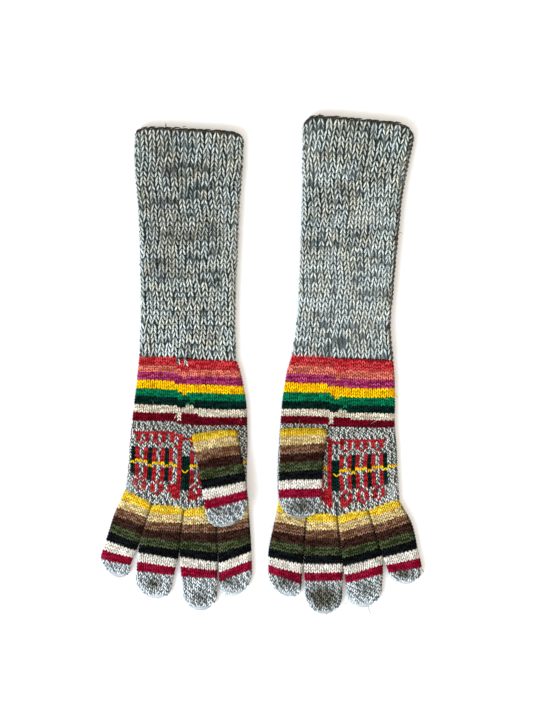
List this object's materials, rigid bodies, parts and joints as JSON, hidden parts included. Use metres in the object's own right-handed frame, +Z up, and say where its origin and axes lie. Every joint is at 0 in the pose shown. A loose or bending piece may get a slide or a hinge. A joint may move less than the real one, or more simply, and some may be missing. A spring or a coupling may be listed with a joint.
{
  "type": "pair of long knitted gloves",
  "caption": "Pair of long striped wool gloves with ribbed gauntlet cuffs and patterned palms, laid flat with the thumbs folded over.",
  "frame": {"origin": "middle of the footprint of both gloves, on the surface they lie on", "axes": "+Z up from that surface, +Y from the fingertips to the cuffs, +X from the left-hand glove to the right-hand glove, palms up"},
  "size_m": [0.289, 0.4482, 0.0138],
  "materials": {
    "ragg_wool": "thick rib in white and grey marled wool, matt, slightly fuzzy",
    "patterned_wool": "plain knitting with coloured wrist stripes and a charted palm on grey marl, matt",
    "banded_wool": "plain knitting in even colour bands with grey marl tips, matt"
  },
  "bodies": {
    "root": {"left_cuff": "ragg_wool", "left_hand": "patterned_wool", "left_thumb": "banded_wool", "left_index": "banded_wool", "left_middle": "banded_wool", "left_ring": "banded_wool", "left_little": "banded_wool", "right_cuff": "ragg_wool", "right_hand": "patterned_wool", "right_thumb": "banded_wool", "right_index": "banded_wool", "right_middle": "banded_wool", "right_ring": "banded_wool", "right_little": "banded_wool"}
  },
  "joints": []
}
